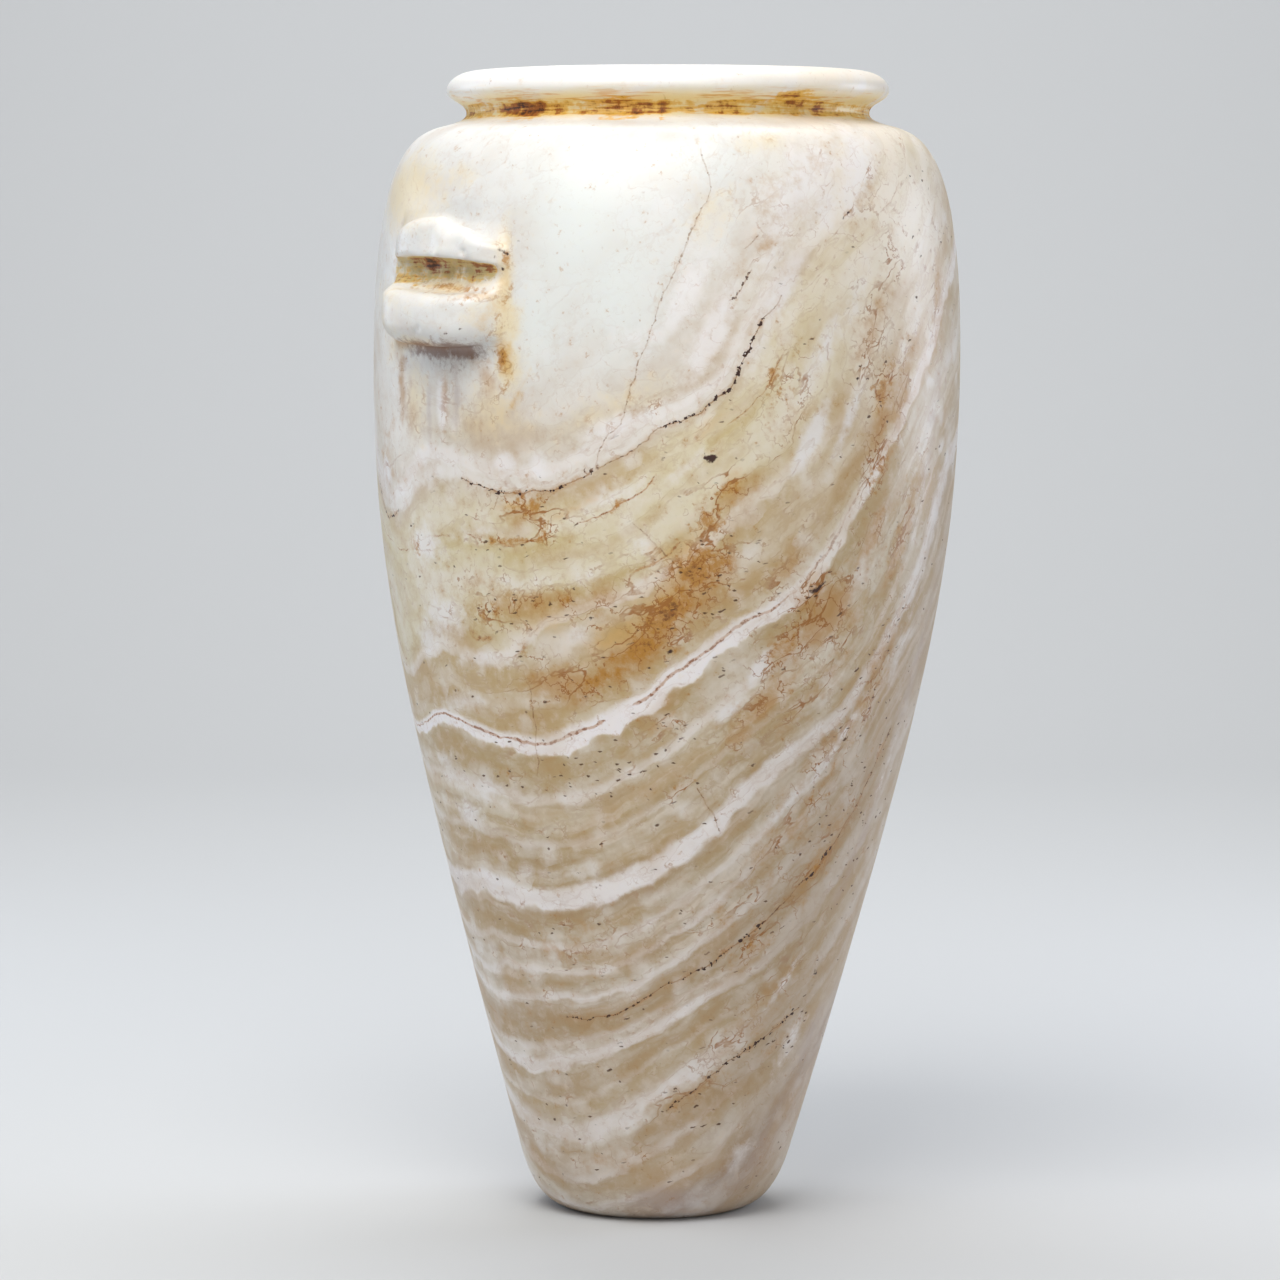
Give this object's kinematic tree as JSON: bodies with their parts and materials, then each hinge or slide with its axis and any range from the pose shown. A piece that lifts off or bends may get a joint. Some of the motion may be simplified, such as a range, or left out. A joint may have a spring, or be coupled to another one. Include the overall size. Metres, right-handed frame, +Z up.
{
  "type": "lug-handled stone jar",
  "caption": "Tall tapering stone jar with a rounded foot, high shoulder, grooved neck, rolled rim and pierced lugs whose outer walls are lost.",
  "frame": {"origin": "centre of the flat underside that the jar stands on", "axes": "+Z up through the mouth; the lugs are at -X and +X, and the one at -X is the tilted one that the picture shows"},
  "size_m": [0.2175, 0.1931, 0.375],
  "materials": {
    "banded_stone": "dull polish, cream and white wavy bands with brown stains and dark pits"
  },
  "bodies": {
    "root": {"stone_jar": "banded_stone"}
  },
  "joints": []
}
